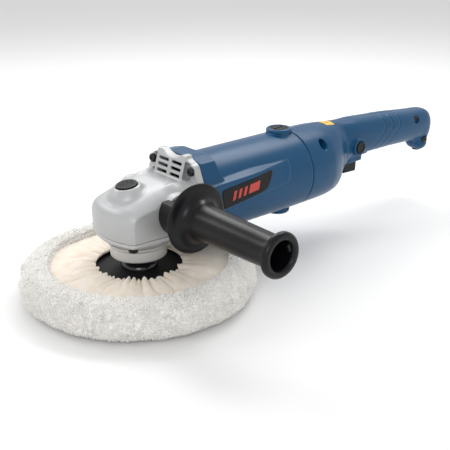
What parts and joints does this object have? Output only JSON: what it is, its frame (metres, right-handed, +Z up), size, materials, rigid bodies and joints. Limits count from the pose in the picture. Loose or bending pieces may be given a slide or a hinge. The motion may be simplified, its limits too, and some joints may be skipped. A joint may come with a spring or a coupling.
{
  "type": "rotary polisher",
  "caption": "Right-angle rotary polisher: die-cast gear head, barrel motor housing, straight rear grip, side handle and a wool bonnet over a rubber backing pad.",
  "frame": {"origin": "on the spindle axis, in the flat working face of the wool bonnet", "axes": "+Z up the spindle into the gear head, +X along the motor towards the rear grip, side handle towards -Y"},
  "size_m": [0.4928, 0.255, 0.116],
  "materials": {
    "alloy": "satin blasted casting, clear lacquer",
    "alloy_cover": "satin casting",
    "screw_black": "black gloss",
    "screw_steel": "zinc plated",
    "bearing_steel": "ground and polished",
    "machined_steel": "turned",
    "gear_steel": "hardened, lightly oiled",
    "felt": "pressed felt",
    "spring_steel": "drawn wire",
    "hub_black": "black gloss",
    "pad_rubber": "matt",
    "wool": "sheared wool pile",
    "cotton": "plain woven cotton",
    "string": "braided cotton",
    "button_black": "fine texture",
    "handle_black": "satin, fine texture",
    "housing_blue": "satin",
    "plate_black": "printed plate",
    "inner_plastic": "moulded",
    "core_steel": "laminated sheet",
    "copper": "enamelled wire",
    "brass": "drawn",
    "carbon": "pressed carbon",
    "inner_rubber": "matt",
    "cream_plastic": "moulded",
    "yellow_label": "printed film"
  },
  "bodies": {
    "tool": {"gear_case": "alloy", "bearing_box": "alloy_cover", "bearing_box_screws": "screw_steel", "gear_case_screws": "screw_black", "spindle_bearing_outer": "bearing_steel", "bearing_retainer": "machined_steel", "dust_seal": "felt", "needle_bearing": "bearing_steel", "lock_spring": "spring_steel", "side_handle_grip": "handle_black", "side_handle_collar": "handle_black", "side_handle_stud": "machined_steel", "motor_housing": "housing_blue", "nameplates": "plate_black", "fan_baffle": "inner_plastic", "stator_core": "core_steel", "field_coils": "copper", "brush_holders": "brass", "carbon_brushes": "carbon", "brush_springs": "spring_steel", "brush_caps": "button_black", "armature_bearing_outers": "bearing_steel", "bearing_sleeve": "inner_rubber", "handle_left": "housing_blue", "handle_right": "housing_blue", "handle_screws": "screw_steel", "trigger_pin": "machined_steel", "trigger_spring": "spring_steel", "switch_body": "inner_plastic", "lock_on_spring": "spring_steel", "terminal_block": "cream_plastic", "cord_clamp": "inner_plastic", "inlet_bush": "inner_rubber", "warning_sticker": "yellow_label"},
    "spindle_assembly": {"spindle": "machined_steel", "ring_gear": "gear_steel", "spindle_bearing_inner": "bearing_steel", "spindle_bearing_balls": "bearing_steel", "gear_key": "machined_steel", "spindle_snap_ring": "spring_steel", "pad_hub": "hub_black", "rubber_pad": "pad_rubber", "wool_bonnet": "wool", "bonnet_skirt": "cotton", "drawstring": "string"},
    "armature": {"armature_shaft": "machined_steel", "pinion": "gear_steel", "pinion_nut": "machined_steel", "armature_core": "core_steel", "armature_windings": "copper", "commutator": "copper", "fan": "inner_plastic", "armature_bearing_inners": "bearing_steel"},
    "spindle_lock": {"lock_button": "button_black", "lock_pin": "machined_steel"},
    "trigger_lever": {"trigger": "button_black"},
    "lock_on": {"lock_on_button": "button_black"}
  },
  "joints": [
    {"name": "spindle_spin", "type": "hinge", "parent": "tool", "child": "spindle_assembly", "pos_m": [0, 0, 0.044], "axis": [0, 0, 1], "continuous": true},
    {"name": "armature_spin", "type": "hinge", "parent": "tool", "child": "armature", "pos_m": [0.1, 0, 0.0734], "axis": [1, 0, 0], "continuous": true},
    {"name": "spindle_lock_press", "type": "slide", "parent": "tool", "child": "spindle_lock", "axis": [0, 0, -1], "range_m": [0, 0.004], "stiffness_N_per_m": 600, "springref_m": -0.002, "deforming": ["lock_spring"]},
    {"name": "trigger_pull", "type": "hinge", "parent": "tool", "child": "trigger_lever", "pos_m": [0.254, 0, 0.064], "axis": [0, -1, 0], "range_deg": [0, 7], "stiffness_Nm_per_rad": 0.6, "springref_deg": -8.59, "deforming": ["trigger_spring"]},
    {"name": "lock_on_press", "type": "slide", "parent": "tool", "child": "lock_on", "axis": [0, 1, 0], "range_m": [0, 0.003], "stiffness_N_per_m": 300, "springref_m": -0.001, "deforming": ["lock_on_spring"]}
  ],
  "couplings": [
    {"joint": "armature_spin", "follows": "spindle_spin", "ratio": 3.8182}
  ]
}
